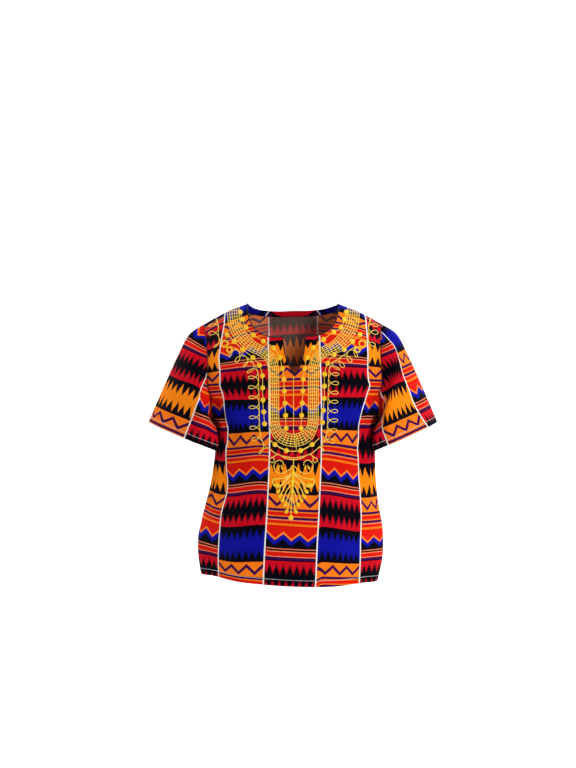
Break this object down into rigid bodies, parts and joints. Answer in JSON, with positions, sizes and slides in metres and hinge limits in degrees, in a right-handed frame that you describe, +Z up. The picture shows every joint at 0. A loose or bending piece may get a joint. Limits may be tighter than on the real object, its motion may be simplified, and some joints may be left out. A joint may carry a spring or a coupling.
{
  "type": "dashiki shirt",
  "caption": "Child's short-sleeved dashiki shirt as worn: hollow strip-print cotton body with round neck, centre slit and embroidered neckline, open at neck, hem and cuffs",
  "frame": {"origin": "on the shoulder line, midway between the two neck points, where the wearer's shoulders hold the shirt up", "axes": "+Z up, the front faces -Y, +X to the right of someone who looks at the front"},
  "size_m": [0.472, 0.188, 0.4486],
  "materials": {
    "front_cotton": "matt printed cotton",
    "back_cotton": "matt printed cotton",
    "sleeve_cotton": "matt printed cotton"
  },
  "bodies": {
    "root": {"front": "front_cotton", "back": "back_cotton", "sleeve_left": "sleeve_cotton", "sleeve_right": "sleeve_cotton"}
  },
  "joints": []
}
